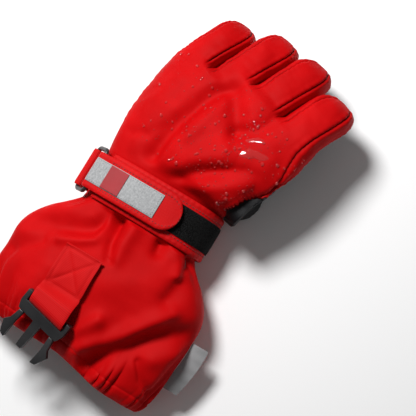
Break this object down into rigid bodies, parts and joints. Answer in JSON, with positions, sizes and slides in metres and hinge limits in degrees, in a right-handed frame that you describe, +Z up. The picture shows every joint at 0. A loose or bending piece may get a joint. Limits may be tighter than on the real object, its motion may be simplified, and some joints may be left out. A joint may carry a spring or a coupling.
{
  "type": "ski glove",
  "caption": "Child's padded ski glove for the left hand with gauntlet cuff, wrist strap through a ring and a side-release clip.",
  "frame": {"origin": "middle of the wrist on the flat underside that the cuff rests on", "axes": "+Y along the fingers, +X to the index and thumb side, +Z up through the back of the hand"},
  "size_m": [0.1805, 0.2654, 0.0563],
  "materials": {
    "red_shell": "matt coated woven nylon",
    "black_palm": "grained synthetic leather",
    "black_tape": "hook and loop pile",
    "black_plastic": "moulded, satin",
    "red_webbing": "woven",
    "reflective_grey": "reflective coated cloth",
    "badge_red": "woven badge",
    "grey_satin": "satin",
    "white_wadding": "loose polyester wadding",
    "grey_membrane": "waterproof film",
    "dark_lining": "brushed tricot",
    "white_elastic": "knitted elastic"
  },
  "bodies": {
    "hand": {"clip_webbing": "red_webbing", "cuff_back_shell": "red_shell", "cuff_lining": "dark_lining", "cuff_palm_shell": "red_shell", "hand_back_shell": "red_shell", "hand_lining": "dark_lining", "hand_membrane": "grey_membrane", "hand_palm_shell": "black_palm", "hand_side_panel": "red_shell", "hand_wadding": "white_wadding", "hem_channel": "red_shell", "hem_elastic": "white_elastic", "loop_tape": "black_tape", "palm_patch": "black_palm", "ring_anchor_loop": "red_webbing", "side_tag": "grey_satin", "strap_band": "red_shell", "wrist_elastic": "white_elastic"},
    "ring": {"strap_ring": "black_plastic"},
    "tab": {"tab_strap": "red_shell", "hook_tape": "black_tape", "reflective_tape": "reflective_grey", "plain_badge": "badge_red"},
    "clip": {"clip_frame": "black_plastic"},
    "prong_left": {"clip_prong_left": "black_plastic"},
    "prong_right": {"clip_prong_right": "black_plastic"},
    "index_finger": {"index_finger_back": "red_shell", "index_finger_inner_wall": "red_shell", "index_finger_lining": "dark_lining", "index_finger_outer_wall": "red_shell", "index_finger_palm": "black_palm", "index_finger_wadding": "white_wadding"},
    "middle_finger": {"middle_finger_back": "red_shell", "middle_finger_inner_wall": "red_shell", "middle_finger_lining": "dark_lining", "middle_finger_outer_wall": "red_shell", "middle_finger_palm": "black_palm", "middle_finger_wadding": "white_wadding"},
    "ring_finger": {"ring_finger_back": "red_shell", "ring_finger_inner_wall": "red_shell", "ring_finger_lining": "dark_lining", "ring_finger_outer_wall": "red_shell", "ring_finger_palm": "black_palm", "ring_finger_wadding": "white_wadding"},
    "pinky_finger": {"pinky_finger_back": "red_shell", "pinky_finger_inner_wall": "red_shell", "pinky_finger_lining": "dark_lining", "pinky_finger_outer_wall": "red_shell", "pinky_finger_palm": "black_palm", "pinky_finger_wadding": "white_wadding"},
    "thumb": {"thumb_back_panel": "black_palm", "thumb_lining": "dark_lining", "thumb_palm_panel": "black_palm", "thumb_wadding": "white_wadding"}
  },
  "joints": [
    {"name": "index_flex", "type": "hinge", "parent": "hand", "child": "index_finger", "pos_m": [0.02, 0.101, 0.02772], "axis": [-1, 0, 0], "range_deg": [0, 60], "stiffness_Nm_per_rad": 0.15},
    {"name": "middle_flex", "type": "hinge", "parent": "hand", "child": "middle_finger", "pos_m": [-0.009, 0.101, 0.02155], "axis": [-1, 0, 0], "range_deg": [0, 60], "stiffness_Nm_per_rad": 0.15},
    {"name": "ring_flex", "type": "hinge", "parent": "hand", "child": "ring_finger", "pos_m": [-0.0362, 0.097, 0.01577], "axis": [-1, 0, 0], "range_deg": [0, 60], "stiffness_Nm_per_rad": 0.15},
    {"name": "pinky_flex", "type": "hinge", "parent": "hand", "child": "pinky_finger", "pos_m": [-0.0617, 0.088, 0.01035], "axis": [-1, 0, 0], "range_deg": [0, 60], "stiffness_Nm_per_rad": 0.15},
    {"name": "thumb_swing", "type": "hinge", "parent": "hand", "child": "thumb", "pos_m": [0.023, 0.05004, 0.011], "axis": [0, 0, -1], "range_deg": [0, 60], "stiffness_Nm_per_rad": 0.15},
    {"name": "ring_swing", "type": "hinge", "parent": "hand", "child": "ring", "pos_m": [-0.04285, -0.01953, 0.0293], "axis": [0.4147, -0.91, 0], "range_deg": [0, 20]},
    {"name": "tab_peel", "type": "hinge", "parent": "ring", "child": "tab", "pos_m": [-0.03573, -0.01628, 0.03943], "axis": [0.4147, -0.91, 0], "range_deg": [0, 140]},
    {"name": "clip_swing", "type": "hinge", "parent": "hand", "child": "clip", "pos_m": [0.02326, -0.08721, 0.04971], "axis": [-0.9763, -0.2164, 0], "range_deg": [0, 110]},
    {"name": "prong_left_squeeze", "type": "hinge", "parent": "clip", "child": "prong_left", "pos_m": [0.03832, -0.09599, 0.04676], "axis": [-0.0524, 0.2362, -0.9703], "range_deg": [0, 8], "stiffness_Nm_per_rad": 0.05},
    {"name": "prong_right_squeeze", "type": "hinge", "parent": "clip", "child": "prong_right", "pos_m": [0.01332, -0.10153, 0.04676], "axis": [0.0524, -0.2362, 0.9703], "range_deg": [0, 8], "stiffness_Nm_per_rad": 0.05}
  ]
}
